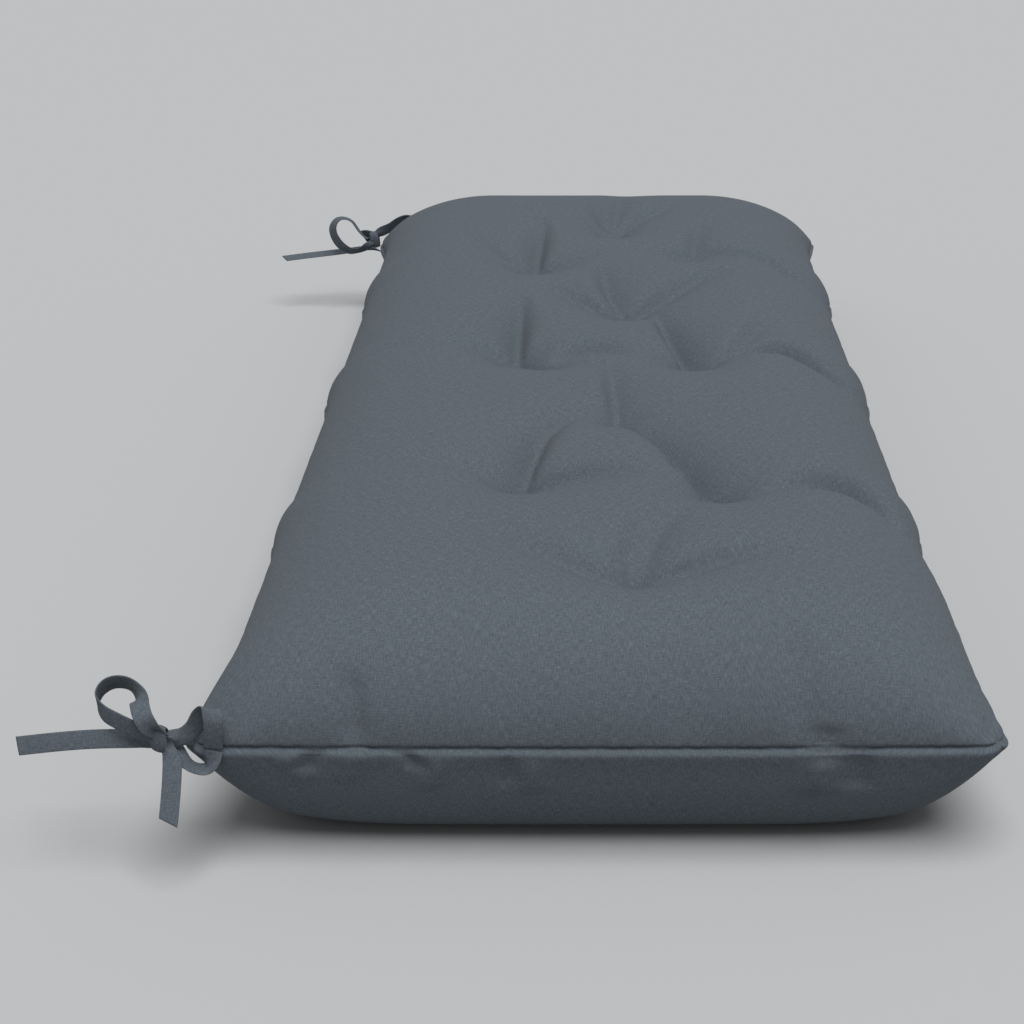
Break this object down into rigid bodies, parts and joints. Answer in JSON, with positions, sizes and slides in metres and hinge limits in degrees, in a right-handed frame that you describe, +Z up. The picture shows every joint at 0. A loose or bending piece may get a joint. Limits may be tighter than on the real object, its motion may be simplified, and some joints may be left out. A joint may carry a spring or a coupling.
{
  "type": "bench cushion",
  "caption": "Long rectangular tufted seat cushion for a bench, with one plain seam round its edge and a cloth tie at each back corner.",
  "frame": {"origin": "on the surface that the cushion lies on, under the middle of its box, ties not counted", "axes": "+X along the length, +Y to the back edge, which has the ties, +Z up"},
  "size_m": [1.2498, 0.6233, 0.152],
  "materials": {
    "cushion_canvas": "matt woven melange canvas, slate grey",
    "tie_canvas": "the same canvas, folded and stitched to a narrow tape"
  },
  "bodies": {
    "root": {"cushion": "cushion_canvas", "tie_near_bow": "tie_canvas", "tie_near_tail": "tie_canvas", "tie_far_bow": "tie_canvas", "tie_far_tail": "tie_canvas"}
  },
  "joints": []
}
